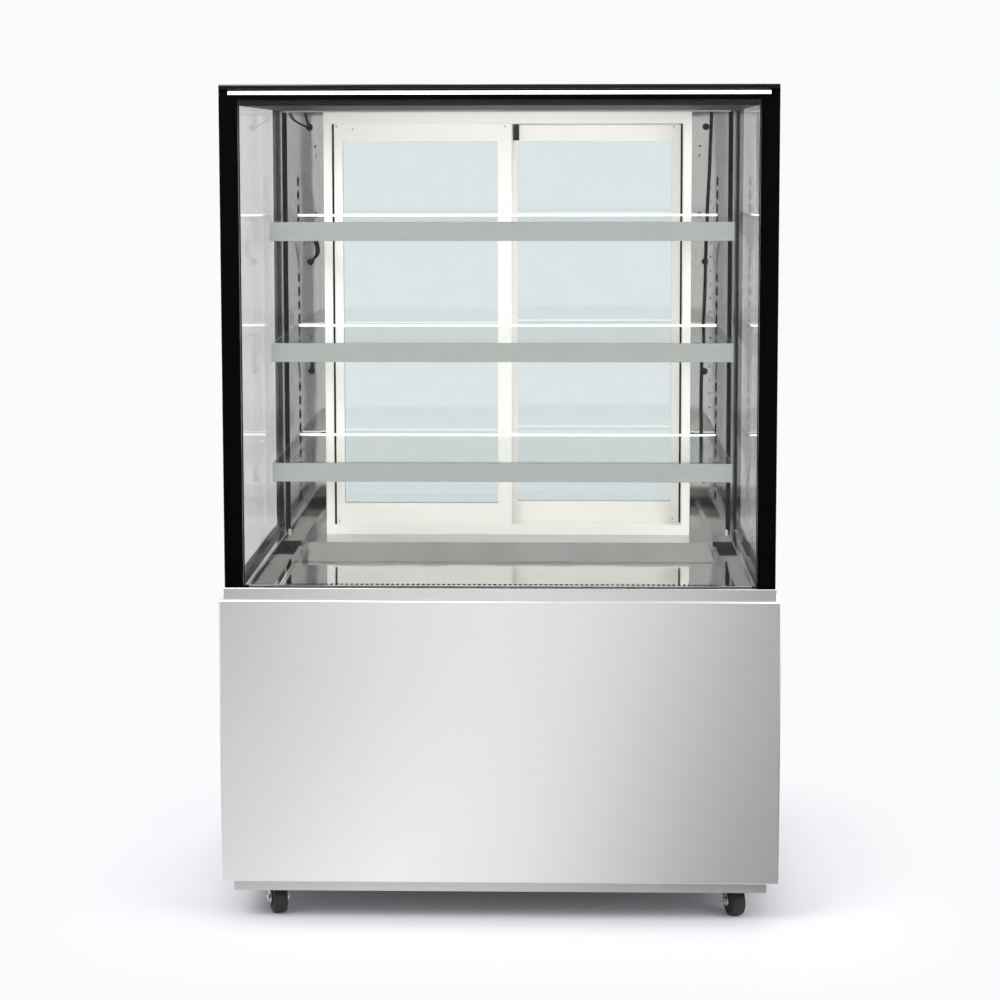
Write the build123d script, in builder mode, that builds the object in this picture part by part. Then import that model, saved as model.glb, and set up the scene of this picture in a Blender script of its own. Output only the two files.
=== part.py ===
from build123d import *
import os
from math import cos, radians, sin, tan

os.makedirs("parts", exist_ok=True)

# Refrigerated cake display case on castors, in millimetres.
# The origin is on the floor under the middle of the case, +Z is up,
# the customer's glass front faces -Y and the sliding doors face +Y.

# Driving sizes of the whole case
case_width = 900.0
case_depth = 675.0
case_height = 1350.0
glass_width = 880.0
glass_setback = 8.2

# Heights above the floor
skirt_bottom = 52.5
base_bottom = 70.0
base_top = 531.5
deck_level = 520.0
ledge_level = 541.5
sill_top = 550.5
frame_top = 1315.0
ceiling_level = 1317.0
band_bottom = 1326.0
glass_top = 1342.5
top_shelf_level = 1129.5
shelf_spacing = 200.0
shelf_count = 3

# Sheet and glass
sheet = 1.5
heavy_sheet = 2.0
panel_bend = 3.0
pane = 5.0
front_gap = 12.0
side_gap = 20.0
glass_seat = 538.5
border_width = 29.0
seat_gap = 0.2

# Base
panel_return = 22.0
skirt_setback = 12.0
skirt_half_width = 432.0
side_face = 448.0
rear_face = 329.0
well_wall = 35.0
well_bottom = 340.0
well_half_width = 425.5
well_back = 297.0
rim_half_width = 404.0
rim_back = 262.0
step_width = 15.0
step_level = 517.3

# Display space
deck_half_width = 371.5
deck_front = -114.0
ledge_front = 187.5
ledge_half_width = 372.0
bar_width = 8.0
bar_height = 7.0
post_front = 272.5
post_inner = 342.0
post_outer = 400.0
post_back = 334.5
slot_length = 15.8
slot_width = 3.5
slot_x = 380.6
slot_pitch = 25.0
slot_count = 24
first_slot = 1190.5
round_hole_x = 369.0
round_hole_radius = 1.8
grommet_x = 359.0
grommet_drop = 85.0
top_grommet = 1288.0
grommet_hole_radius = 5.0

# Shelves
shelf_half_width = 382.0
shelf_front = -154.7
shelf_back = 250.3
shelf_glass = 6.0
rail_height = 31.3

# Rear door frame and sliding leaves
door_frame_front = 275.5
door_frame_half_width = 334.0
frame_wall = 3.0
fin = 3.2
side_fin_reach = 14.8
top_fin_reach = 21.0
bottom_fin_reach = 18.5
leaf_thickness = 20.0
leaf_outer = 325.0
leaf_overlap = 7.5
stile = 25.0
leaf_bottom = 551.0
leaf_top = 1303.0
top_rail = 40.0
bottom_rail = 48.0
track_rib_height = 3.0
track_rib_width = 2.0

# Castors
castor_x = 374.0
castor_front = -247.0
castor_back = 262.0
wheel_radius = 25.0
wheel_width = 24.0
castor_trail = 28.0
castor_turn = 18.0
running_clearance = 0.05

# Values that follow from the ones above
front = -case_depth / 2
back = case_depth / 2
glass_half = glass_width / 2
glass_front = front + glass_setback
border_inner = glass_half - border_width
front_unit_back = glass_front + 2 * pane + front_gap
side_unit_inner = glass_half - 2 * pane - side_gap
lip = 1.5
sill_front = glass_front - lip
rim_front = front + panel_return + step_width + 0.5
shelf_levels = [top_shelf_level - shelf_spacing * n for n in range(shelf_count)]
grommet_levels = [top_grommet] + [level - grommet_drop for level in shelf_levels]


def keep(builder, name):
    """Labels a finished piece and writes it to its own file."""
    builder.part.label = name
    export_step(builder.part, f"parts/{name}.step")
    print(name, round(builder.part.volume))


def block(x, y, z, mode=Mode.ADD):
    """A rectangular block between two limits along each axis."""
    middle = [(limits[0] + limits[1]) / 2 for limits in (x, y, z)]
    with Locations(Location(tuple(middle))):
        Box(x[1] - x[0], y[1] - y[0], z[1] - z[0], mode=mode)


def section_x(points, x, mode=Mode.ADD):
    """A closed outline of (y, z) points, run along X."""
    with BuildSketch(Plane.YZ.offset(x[0])) as outline:
        Polygon(*points, align=None)
    extrude(outline.sketch, amount=x[1] - x[0], mode=mode)


def section_y(points, y, mode=Mode.ADD):
    """A closed outline of (x, z) points, run along Y."""
    with BuildSketch(Plane.XZ.offset(-y[0])) as outline:
        Polygon(*points, align=None)
    extrude(outline.sketch, amount=y[0] - y[1], mode=mode)


def span(low, high, side):
    """Two distances from the middle as limits on the side that side names, 1 or -1."""
    return (low, high) if side > 0 else (-high, -low)


sides = {"left": -1, "right": 1}


# Chassis tray: a pressed floor with a skirt folded down inside the panels' edges
tray_front = front + skirt_setback
tray_back = rear_face - skirt_setback / 2
vent_pitch = 18.0
with BuildPart() as chassis_tray:
    block((-skirt_half_width, skirt_half_width), (tray_front, tray_back), (skirt_bottom, base_bottom))
    fillet(chassis_tray.edges().filter_by(Axis.Z), 4)
    offset(amount=-heavy_sheet, openings=chassis_tray.faces().sort_by(Axis.Z)[0])
    with BuildSketch(Plane.XY.offset(base_bottom)):
        with Locations((0, 110)):
            with GridLocations(0, vent_pitch, 1, 12):
                SlotOverall(300, 7)
    extrude(amount=-heavy_sheet, mode=Mode.SUBTRACT)
keep(chassis_tray, "chassis_tray")

# Front panel: one bare folded sheet, with its edges returned behind the face
with BuildPart() as front_panel:
    block((-case_width / 2, case_width / 2), (front, front + panel_return), (base_bottom, base_top))
    fillet(front_panel.faces().sort_by(Axis.Y)[0].edges(), panel_bend)
    offset(amount=-sheet, openings=front_panel.faces().sort_by(Axis.Y)[-1])
keep(front_panel, "front_panel")

# Side panels of the base, folded like the front one
side_start = front + panel_return + seat_gap
for name, side in sides.items():
    with BuildPart() as side_panel:
        block(span(side_face - panel_return, side_face, side), (side_start, rear_face), (base_bottom, base_top))
        outer = side_panel.faces().sort_by(Axis.X)[-1 if side > 0 else 0]
        fillet(outer.edges(), heavy_sheet)
        offset(amount=-sheet, openings=side_panel.faces().sort_by(Axis.X)[0 if side > 0 else -1])
    keep(side_panel, f"side_panel_{name}")

# Rear panel: a flat sheet with two banks of hooded louvres and the cut-outs of the controls
louvre_length = 230.0
louvre_x = 150.0
louvre_pitch = 16.0
louvre_count = 9
louvre_low = 120.0
louvre_rise = 5.0
louvre_slot = 6.0
control_level = 470.0
controller_x = 250.0
controller_cut = (71.0, 29.0)
switch_x = {"power_switch": 330.0, "light_switch": 370.0}
switch_cut = (20.0, 28.0)
gland_x = -340.0
gland_level = 130.0
gland_hole = 10.0
rear_skin = rear_face + sheet
with BuildPart() as rear_panel:
    block((-side_face, side_face), (rear_face, rear_skin), (base_bottom + sheet, base_top - sheet))
    louvre_levels = [louvre_low + louvre_pitch * n for n in range(louvre_count)]
    for x in (-louvre_x, louvre_x):
        with BuildSketch(Plane.YZ.offset(x - louvre_length / 2)):
            for level in louvre_levels:
                Polygon(
                    (rear_skin, level + louvre_slot + sheet),
                    (rear_skin, level + louvre_slot),
                    (rear_skin + louvre_rise - sheet, level),
                    (rear_skin + louvre_rise, level),
                    align=None,
                )
        extrude(amount=louvre_length)
    louvre_middle = (louvre_levels[0] + louvre_levels[-1] + louvre_slot) / 2
    with BuildSketch(Plane.XZ.offset(-rear_skin)):
        with Locations((controller_x, control_level)):
            Rectangle(*controller_cut)
        for x in switch_x.values():
            with Locations((x, control_level)):
                Rectangle(*switch_cut)
        with Locations((gland_x, gland_level)):
            Circle(gland_hole)
        with Locations((0, louvre_middle)):
            with GridLocations(2 * louvre_x, louvre_pitch, 2, louvre_count):
                Rectangle(louvre_length, louvre_slot)
    extrude(amount=sheet, mode=Mode.SUBTRACT)
keep(rear_panel, "rear_panel")

# Controls: the controller's body with its bezel, window and flat membrane keypad
bezel_rise = 4.0
control_depth = 30.0
rocker_gap = 0.5
rocker_tip = 8.0
rocker_pivot_y = rear_skin - 3
with BuildPart() as controls:
    inner_x, inner_z = controller_cut[0] / 2 - seat_gap, controller_cut[1] / 2 - seat_gap
    block(
        (controller_x - inner_x, controller_x + inner_x),
        (rear_face - control_depth, rear_skin),
        (control_level - inner_z, control_level + inner_z),
    )
    with BuildSketch(Plane.XZ.offset(-rear_skin)):
        with Locations((controller_x, control_level)):
            RectangleRounded(77, 35, 3)
    extrude(amount=-bezel_rise)
    window = Plane.XZ.offset(-rear_skin - bezel_rise)
    with BuildSketch(window):
        with Locations((controller_x - 10, control_level)):
            Rectangle(40, 20)
        with Locations((controller_x + 22, control_level)):
            with GridLocations(11, 11, 2, 2):
                RectangleRounded(8, 8, 1.5)
    extrude(amount=0.8, mode=Mode.SUBTRACT)

    # Frames of the two rocker switches beside it, each with a cross pin
    for x in switch_x.values():
        block(
            (x - switch_cut[0] / 2 + seat_gap, x + switch_cut[0] / 2 - seat_gap),
            (rear_face - 18, rear_skin),
            (control_level - switch_cut[1] / 2 + seat_gap, control_level + switch_cut[1] / 2 - seat_gap),
        )
        block((x - 12, x + 12), (rear_skin, rear_skin + 2), (control_level - 16, control_level + 16))
        block((x - 7, x + 7), (rear_face - 12, rear_skin + 2), (control_level - 11.5, control_level + 11.5), Mode.SUBTRACT)
        with BuildSketch(Plane.YZ.offset(x - 8)):
            with Locations((rocker_pivot_y, control_level)):
                Circle(1.5)
        extrude(amount=16)
keep(controls, "controls")

# Rockers, bored for the cross pins
for name, x in switch_x.items():
    tip = radians(rocker_tip)
    off_plane = Plane(
        origin=(x - 7 + rocker_gap, rocker_pivot_y, control_level),
        x_dir=(0, cos(tip), sin(tip)),
        z_dir=(1, 0, 0),
    )
    with BuildPart() as rocker:
        with BuildSketch(off_plane):
            Polygon((-5, -3), (4.5, -10), (7.2, -10), (5.2, 0), (7.2, 10), (4.5, 10), (-5, 3), align=None)
            Circle(1.5 + running_clearance, mode=Mode.SUBTRACT)
        extrude(amount=14 - 2 * rocker_gap)
    keep(rocker, name)

# Cable gland where the supply lead leaves: a nut, a flange and a bored body
with BuildPart() as cable_gland:
    with BuildSketch(Plane.XZ.offset(-rear_face + 12)):
        with Locations((gland_x, gland_level)):
            Circle(gland_hole - seat_gap)
    extrude(amount=-(12 + sheet))
    with BuildSketch(Plane.XZ.offset(-rear_skin)):
        with Locations((gland_x, gland_level)):
            RegularPolygon(14, 6)
    extrude(amount=-5)
    with BuildSketch(Plane.XZ.offset(-rear_face + 12)):
        with Locations((gland_x, gland_level)):
            Circle(5)
    extrude(amount=-(12 + sheet + 5), mode=Mode.SUBTRACT)
keep(cable_gland, "cable_gland")

# Insulated well under the deck: an open tub with a step that the deck sheets lie on
well_front = front + panel_return + 0.5
step_half_width = rim_half_width - 19
with BuildPart() as well_shell:
    block((-well_half_width, well_half_width), (well_front, well_back), (well_bottom, base_top))
    block((-rim_half_width, rim_half_width), (rim_front, rim_back), (step_level, base_top), Mode.SUBTRACT)
    with BuildSketch(Plane.XY.offset(step_level)):
        with Locations((0, (rim_front + rim_back) / 2)):
            RectangleRounded(2 * step_half_width, rim_back - rim_front - 2 * step_width, 12)
    extrude(amount=-(step_level - well_bottom - well_wall), mode=Mode.SUBTRACT)
    with BuildSketch(Plane.XY.offset(well_bottom)):
        with Locations((0, 120)):
            Circle(8)
    extrude(amount=well_wall, mode=Mode.SUBTRACT)
keep(well_shell, "well_shell")

# Evaporator: a finned coil on the well's floor, with end plates, return bends and a fan cowl
well_floor = well_bottom + well_wall
coil_low, coil_high = well_floor, well_floor + 100
coil_back, coil_front = 235.0, 165.0
fin_count = 24
coil_half = 250.0
fin_gap = 2.4
fin_gap_depth = 5.0
fin_inset = 4.0
cowl_front = 120.0
fan_radius = 40.0
fan_level = well_floor + 55
fan_tip_gap = 4.0
motor_radius = 16.0


def fin_pack(x, half, y, z, count):
    """A pack of fins as one block, with the gaps between them cut into its front and back."""
    y_limits = (y[0] + fin_inset, y[1] - fin_inset)
    z_limits = (z[0] + fin_inset, z[1] - fin_inset)
    block((x - half, x + half), y_limits, z_limits)
    pitch = 2 * half / (count + 1)
    depth = y_limits[1] - y_limits[0]
    with BuildSketch(Plane.XY.offset(z_limits[0])) as gaps:
        for face in (y_limits[0] + fin_gap_depth / 2, y_limits[0] + depth - fin_gap_depth / 2):
            with Locations((x, face)):
                with GridLocations(pitch, 0, count, 1):
                    Rectangle(fin_gap, fin_gap_depth)
    extrude(gaps.sketch, amount=z_limits[1] - z_limits[0], mode=Mode.SUBTRACT)


with BuildPart() as evaporator:
    for x in (-coil_half, coil_half - heavy_sheet):
        block((x, x + heavy_sheet), (coil_front, coil_back), (coil_low, coil_high))
    fin_pack(0, coil_half, (coil_front, coil_back), (coil_low, coil_high), fin_count)
    with BuildSketch(Plane.YZ.offset(-coil_half - 10)):
        with Locations(((coil_front + coil_back) / 2, (coil_low + coil_high) / 2)):
            with GridLocations(36, 48, 2, 2):
                RegularPolygon(5, 8)
    extrude(amount=2 * coil_half + 20)
    for end in (-coil_half - 16, coil_half + 8):
        for y in (-18, 18):
            middle = (coil_front + coil_back) / 2 + y
            block((end, end + 8), (middle - 5, middle + 5), (coil_low + 20, coil_high - 20))

    # Fan cowl in front of the coil, with the motor on its cross bar
    block((-coil_half, coil_half), (cowl_front, cowl_front + sheet), (well_floor, coil_high))
    block((-coil_half, coil_half), (cowl_front + sheet, coil_front), (coil_high - sheet, coil_high))
    with BuildSketch(Plane.XZ.offset(-cowl_front)):
        with Locations((0, fan_level)):
            Circle(fan_radius + fan_tip_gap)
    extrude(amount=-sheet, mode=Mode.SUBTRACT)
    block((-fan_radius - 6, fan_radius + 6), (cowl_front + sheet, cowl_front + 2 * sheet), (fan_level - 3, fan_level + 3))
    with BuildSketch(Plane.XZ.offset(-cowl_front - sheet)):
        with Locations((0, fan_level)):
            Circle(motor_radius)
    extrude(amount=-24)
    with BuildSketch(Plane.XZ.offset(-cowl_front + 21)):
        with Locations((0, fan_level)):
            Circle(3)
    extrude(amount=-21 - sheet)
keep(evaporator, "evaporator")


def fan_blades(x, level, y, radius, hub, count, pitch_angle, depth):
    """Twisted blades about an axis along Y, on a hub bored for the motor shaft."""
    with BuildSketch(Plane.XZ.offset(-y)) as hub_ring:
        with Locations((x, level)):
            Circle(hub)
            Circle(3 + running_clearance, mode=Mode.SUBTRACT)
    extrude(hub_ring.sketch, amount=-depth)
    for n in range(count):
        angle = 360 / count * n
        blade_plane = Plane(
            origin=(x + (hub - 1.5) * cos(radians(angle)), y + depth / 2, level + (hub - 1.5) * sin(radians(angle))),
            x_dir=(-sin(radians(angle)), 0, cos(radians(angle))),
            z_dir=(cos(radians(angle)), 0, sin(radians(angle))),
        )
        tip_plane = blade_plane.offset(radius - hub + 1.5)
        with BuildSketch(blade_plane.rotated((0, 0, pitch_angle + 14))) as root_section:
            Rectangle(hub * 0.8, 1.6)
        with BuildSketch(tip_plane.rotated((0, 0, pitch_angle))) as tip_section:
            Rectangle(radius * 0.62, 1.2)
        loft([root_section.sketch.face(), tip_section.sketch.face()])


with BuildPart() as evaporator_fan:
    fan_blades(0, fan_level, cowl_front - 20, fan_radius, 14, 5, 35, 14)
keep(evaporator_fan, "evaporator_fan")

# Compressor: a welded dome on a foot plate with rubber feet, beside the condenser
compressor_x = -230.0
compressor_y = -60.0
dome_radius = 78.0
dome_heel = 30.0
dome_crown = 44.0
compressor_low = base_bottom
dome_shoulder = compressor_low + 128
with BuildPart() as compressor:
    with BuildSketch(Plane.XY.offset(compressor_low + 12)):
        with Locations((compressor_x, compressor_y)):
            RectangleRounded(190, 130, 12)
    extrude(amount=3)
    with BuildSketch(Plane.XY.offset(compressor_low)):
        with Locations((compressor_x, compressor_y)):
            with GridLocations(160, 100, 2, 2):
                RegularPolygon(10, 8)
    extrude(amount=12)
    with BuildSketch(Plane.XZ.offset(-compressor_y)):
        with BuildLine():
            base = (compressor_x, compressor_low + 15)
            heel = (compressor_x + dome_radius - dome_heel, compressor_low + 15)
            wall_low = (compressor_x + dome_radius, compressor_low + 15 + dome_heel)
            wall_high = (compressor_x + dome_radius, dome_shoulder)
            shoulder = (compressor_x + 0.72 * dome_radius, dome_shoulder + 0.68 * dome_crown)
            rim = (compressor_x + 0.3 * dome_radius, dome_shoulder + dome_crown)
            crown = (compressor_x, dome_shoulder + dome_crown)
            Polyline(base, heel, wall_low, wall_high, shoulder, rim, crown, close=True)
        make_face()
    revolve(axis=Axis((compressor_x, compressor_y, 0), (0, 0, 1)))
    with BuildSketch(Plane.XY.offset(compressor_low + 95)):
        with Locations((compressor_x, compressor_y)):
            Circle(dome_radius + 5)
    extrude(amount=5)
    block(
        (compressor_x + dome_radius - 6, compressor_x + dome_radius + 26),
        (compressor_y - 22, compressor_y + 22),
        (compressor_low + 50, compressor_low + 90),
    )
keep(compressor, "compressor")

# Condenser coil behind the rear louvres, its cowl and its fan
condenser_x = 90.0
condenser_half = 140.0
condenser_low, condenser_high = base_bottom, base_bottom + 210
condenser_back, condenser_front = 300.0, 240.0
condenser_fins = 22
with BuildPart() as condenser_coil:
    for x in (condenser_x - condenser_half, condenser_x + condenser_half - heavy_sheet):
        block((x, x + heavy_sheet), (condenser_front, condenser_back), (condenser_low, condenser_high))
    fin_pack(
        condenser_x,
        condenser_half,
        (condenser_front, condenser_back),
        (condenser_low, condenser_high),
        condenser_fins,
    )
    with BuildSketch(Plane.YZ.offset(condenser_x - condenser_half - 8)):
        with Locations(((condenser_front + condenser_back) / 2, (condenser_low + condenser_high) / 2)):
            with GridLocations(30, 50, 2, 4):
                RegularPolygon(4.5, 8)
    extrude(amount=2 * condenser_half + 16)
keep(condenser_coil, "condenser_coil")

condenser_fan_radius = 84.0
condenser_fan_level = condenser_low + 105
condenser_cowl_front = 205.0
with BuildPart() as condenser_cowl:
    cowl_x = (condenser_x - condenser_half, condenser_x + condenser_half)
    block(cowl_x, (condenser_cowl_front, condenser_front), (condenser_low, condenser_high))
    offset(amount=-sheet, openings=condenser_cowl.faces().sort_by(Axis.Y)[-1])
    with BuildSketch(Plane.XZ.offset(-condenser_cowl_front)):
        with Locations((condenser_x, condenser_fan_level)):
            Circle(condenser_fan_radius + fan_tip_gap)
    extrude(amount=-sheet, mode=Mode.SUBTRACT)
    motor_arm = (condenser_x - condenser_fan_radius - 6, condenser_x + condenser_fan_radius + 6)
    arm_y = (condenser_cowl_front + sheet, condenser_cowl_front + 3 * sheet)
    block(motor_arm, arm_y, (condenser_fan_level - 5, condenser_fan_level + 5))
    with BuildSketch(Plane.XZ.offset(-arm_y[0])):
        with Locations((condenser_x, condenser_fan_level)):
            Circle(motor_radius + 10)
    extrude(amount=-30)
    with BuildSketch(Plane.XZ.offset(-condenser_cowl_front + 27)):
        with Locations((condenser_x, condenser_fan_level)):
            Circle(3)
    extrude(amount=-27 - sheet)
keep(condenser_cowl, "condenser_cowl")

with BuildPart() as condenser_fan:
    fan_blades(condenser_x, condenser_fan_level, condenser_cowl_front - 26, condenser_fan_radius, 22, 5, 35, 18)
keep(condenser_fan, "condenser_fan")

# Copper lines from the compressor to the condenser and up to the evaporator
pipe_radius = 4.0


def copper_line(points, radii):
    """A round tube along straight runs joined by tangent arcs."""
    with BuildLine() as route:
        FilletPolyline(*points, radius=radii)
    start = Plane(origin=route.line @ 0, z_dir=route.line % 0)
    with BuildSketch(start) as ring:
        RegularPolygon(pipe_radius, 8)
    sweep(ring.sketch, path=route.line)


stub_level = compressor_low + 110
with BuildPart() as copper_lines:
    copper_line(
        [
            (compressor_x, compressor_y + dome_radius + seat_gap, stub_level),
            (compressor_x, 270, stub_level),
            (condenser_x - condenser_half - 8.3, 270, stub_level),
        ],
        24,
    )
    copper_line(
        [
            (compressor_x - dome_radius - seat_gap, compressor_y, stub_level),
            (compressor_x - dome_radius - 60, compressor_y, stub_level),
            (compressor_x - dome_radius - 60, compressor_y, 280),
            (compressor_x - dome_radius - 60, 60, well_bottom - 20),
            (compressor_x - dome_radius - 60, 60, well_bottom - 0.3),
        ],
        14,
    )
keep(copper_lines, "copper_lines")

# Condensate tray under the well's drain
with BuildPart() as drain_tray:
    block((-70, 30), (-90, 60), (base_bottom, base_bottom + 40))
    offset(amount=-2.5, openings=drain_tray.faces().sort_by(Axis.Z)[-1])
keep(drain_tray, "drain_tray")

# Front sill: a channel that the front glass stands in
with BuildPart() as sill:
    channel = [
        (sill_front, base_top),
        (front_unit_back + 0.3, base_top),
        (front_unit_back + 0.3, glass_seat - seat_gap),
        (glass_front, glass_seat - seat_gap),
        (glass_front, sill_top),
        (sill_front, sill_top),
    ]
    section_x(channel, (-glass_half - lip, glass_half + lip))
    fillet(sill.edges().filter_by(Axis.X).group_by(Axis.Z)[-1].sort_by(Axis.Y)[0], 1)
    rear_lip = (front_unit_back + 0.3, rim_front)
    block((-rim_half_width + seat_gap, rim_half_width - seat_gap), rear_lip, (base_top, sill_top))
keep(sill, "sill")

# Side rails: the channels that the side glass stands in, from the front glass to the back
rail_front = front_unit_back + 0.4
for name, side in sides.items():
    with BuildPart() as side_rail:
        outline = [
            (rim_half_width, base_top),
            (glass_half + lip, base_top),
            (glass_half + lip, sill_top),
            (glass_half, sill_top),
            (glass_half, glass_seat - seat_gap),
            (side_unit_inner - seat_gap, glass_seat - seat_gap),
            (side_unit_inner - seat_gap, sill_top + lip),
            (rim_half_width, sill_top + lip),
        ]
        section_y([(side * x, z) for x, z in outline], (rail_front, post_back))
    keep(side_rail, f"side_rail_{name}")

# Side ledges of the deck: polished folded sheets with a raised bar beside the deck
flange = sheet
ledge_inner = 360.0
for name, side in sides.items():
    with BuildPart() as side_ledge:
        bar_inner = ledge_half_width
        bar_outer = bar_inner + bar_width
        outline = [
            (ledge_inner, step_level),
            (rim_half_width, step_level),
            (rim_half_width, sill_top),
            (rim_half_width - flange, sill_top),
            (rim_half_width - flange, step_level + sheet),
            (bar_outer, step_level + sheet),
            (bar_outer, deck_level + bar_height),
            (bar_inner, deck_level + bar_height),
            (bar_inner, step_level + sheet),
            (ledge_inner, step_level + sheet),
        ]
        section_y([(side * x, z) for x, z in outline], (rim_front, rim_back))
    keep(side_ledge, f"side_ledge_{name}")

# Deck plate: a polished sheet that lifts out for cleaning. The flanges of the side ledges carry it,
# its front edge is turned down, and its back edge stops short of the rear ledge's riser.
sheet_seat = step_level + sheet
riser_set_back = 6.0
riser = ledge_front + riser_set_back
deck_fold_drop = 16.0
deck_fold_gap = 2.0
with BuildPart() as deck_plate:
    block((-deck_half_width, deck_half_width), (deck_front, riser - seat_gap), (sheet_seat, deck_level))
    fold_half_width = ledge_inner - deck_fold_gap
    fold_y = (deck_front, deck_front + sheet)
    block((-fold_half_width, fold_half_width), fold_y, (deck_level - deck_fold_drop, sheet_seat))
keep(deck_plate, "deck_plate")

# Air grille in front of the deck: rows of slots that lie front to back
grille_slot = (5.0, 54.0)
grille_pitch = 8.6
grille_rows = 2
grille_columns = 84
grille_row_pitch = 62.0
with BuildPart() as air_grille:
    block((-deck_half_width, deck_half_width), (rim_front, deck_front - seat_gap), (sheet_seat, deck_level))
    first_row = deck_front - 3 - grille_slot[1] / 2
    row_middle = first_row - grille_row_pitch * (grille_rows - 1) / 2
    with BuildSketch(Plane.XY.offset(deck_level)):
        with Locations((0, row_middle)):
            with GridLocations(grille_pitch, grille_row_pitch, grille_columns, grille_rows):
                Rectangle(*grille_slot)
    extrude(amount=sheet_seat - deck_level, mode=Mode.SUBTRACT)
keep(air_grille, "air_grille")

# Rear ledge: a step up to the doors, with a nose over a recessed riser, a foot turned back at the
# deck's level, which the side ledges' flanges carry too, and a beam at the back
nose_height = 5.0
with BuildPart() as rear_ledge:
    outline = [
        (ledge_front, ledge_level),
        (rim_back, ledge_level),
        (rim_back, ledge_level - sheet),
        (riser + sheet, ledge_level - sheet),
        (riser + sheet, deck_level),
        (rim_back, deck_level),
        (rim_back, sheet_seat),
        (riser, sheet_seat),
        (riser, ledge_level - nose_height),
        (ledge_front, ledge_level - nose_height),
    ]
    section_x(outline, (-deck_half_width, deck_half_width))
    block((-rim_half_width + seat_gap, rim_half_width - seat_gap), (rim_back, back), (base_top, ledge_level))
keep(rear_ledge, "rear_ledge")

# Front glass: two panes, with the black border and its spacer between them
with BuildPart() as front_glass:
    block((-glass_half, glass_half), (glass_front, glass_front + pane), (glass_seat, glass_top))
    block((-glass_half, glass_half), (front_unit_back - pane, front_unit_back), (glass_seat, glass_top))
keep(front_glass, "front_glass")

line_half_width = 426.0
line_low, line_high = 1334.1, 1339.8
border_y = (glass_front + pane, front_unit_back - pane)
with BuildPart() as front_border:
    block((-glass_half, glass_half), border_y, (glass_seat, glass_top))
    block((-border_inner, border_inner), border_y, (sill_top - lip, band_bottom), Mode.SUBTRACT)
    block((-line_half_width, line_half_width), border_y, (line_low, line_high), Mode.SUBTRACT)
keep(front_border, "front_border")

with BuildPart() as light_line:
    ends = (-line_half_width + seat_gap, line_half_width - seat_gap)
    block(ends, border_y, (line_low + 0.1, line_high - 0.1))
keep(light_line, "light_line")

# Side glass: two panes each side
side_unit_front = front_unit_back + 0.3
spacer_reach = 12.0
strip_inner = 407.5
strip_front = 258.0
for name, side in sides.items():
    with BuildPart() as side_glass:
        for inner in (side_unit_inner, glass_half - pane):
            block(span(inner, inner + pane, side), (side_unit_front, post_back), (glass_seat, glass_top))
    keep(side_glass, f"side_glass_{name}")

# Side seals: the spacer frames inside the side glass, and black strips between glass and posts
with BuildPart() as side_seals:
    for side in sides.values():
        gap = span(side_unit_inner + pane, glass_half - pane, side)
        block(gap, (side_unit_front, post_back), (glass_seat, glass_top))
        inside_y = (side_unit_front + spacer_reach, post_back - spacer_reach)
        block(gap, inside_y, (glass_seat + spacer_reach, glass_top - spacer_reach), Mode.SUBTRACT)
        block(
            span(post_outer + 0.1, strip_inner - 0.1, side),
            (post_front, post_back),
            (sill_top + lip, ceiling_level),
        )
keep(side_seals, "side_seals")

# Rear posts: folded stainless boxes with a ladder of slots, a row of holes and lead holes
post_step = 4.0
post_step_inner = door_frame_half_width + 0.3
for name, side in sides.items():
    with BuildPart() as post:
        with BuildSketch(Plane.XY.offset(ledge_level)) as post_section:
            with BuildLine():
                Polyline(
                    (side * post_outer, post_front),
                    (side * post_inner, post_front),
                    (side * post_inner, post_front + post_step),
                    (side * post_step_inner, post_front + post_step),
                    (side * post_step_inner, post_back),
                    (side * post_outer, post_back),
                    close=True,
                )
            make_face()
            offset(amount=-sheet, mode=Mode.SUBTRACT)
        extrude(amount=ceiling_level - ledge_level)
        slot_middle = first_slot - slot_pitch * (slot_count - 1) / 2
        with BuildSketch(Plane.XZ.offset(-post_front)):
            with Locations((side * slot_x, slot_middle)):
                with GridLocations(0, slot_pitch, 1, slot_count):
                    Rectangle(slot_width, slot_length)
            with Locations((side * round_hole_x, slot_middle)):
                with GridLocations(0, slot_pitch, 1, slot_count + 1):
                    RegularPolygon(round_hole_radius, 8)
            for level in grommet_levels:
                with Locations((side * grommet_x, level)):
                    Circle(grommet_hole_radius)
        extrude(amount=-sheet, mode=Mode.SUBTRACT)

        # A bright strip that covers the edge of the black seal, along the inside of the side glass
        block(
            span(strip_inner, side_unit_inner - 0.1, side),
            (strip_front, post_back),
            (sill_top + lip, ceiling_level),
        )
    keep(post, f"post_{name}")

# Grommets: a bored rubber ring in each lead hole on the left, a closed plug on the right
grommet_flange = 6.2
grommet_rise = 1.8
grommet_bore = 2.6
with BuildPart() as grommets:
    for side in sides.values():
        for level in grommet_levels:
            centre = (side * grommet_x, level)
            with BuildSketch(Plane.XZ.offset(-post_front + grommet_rise)):
                with Locations(centre):
                    Circle(grommet_flange)
            extrude(amount=-grommet_rise)
            with BuildSketch(Plane.XZ.offset(-post_front)):
                with Locations(centre):
                    Circle(grommet_hole_radius - 0.1)
            extrude(amount=-sheet - 1)
            if side < 0:
                with BuildSketch(Plane.XZ.offset(-post_front + grommet_rise)):
                    with Locations(centre):
                        Circle(grommet_bore)
                extrude(amount=-sheet - 1 - grommet_rise, mode=Mode.SUBTRACT)
keep(grommets, "grommets")

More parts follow.
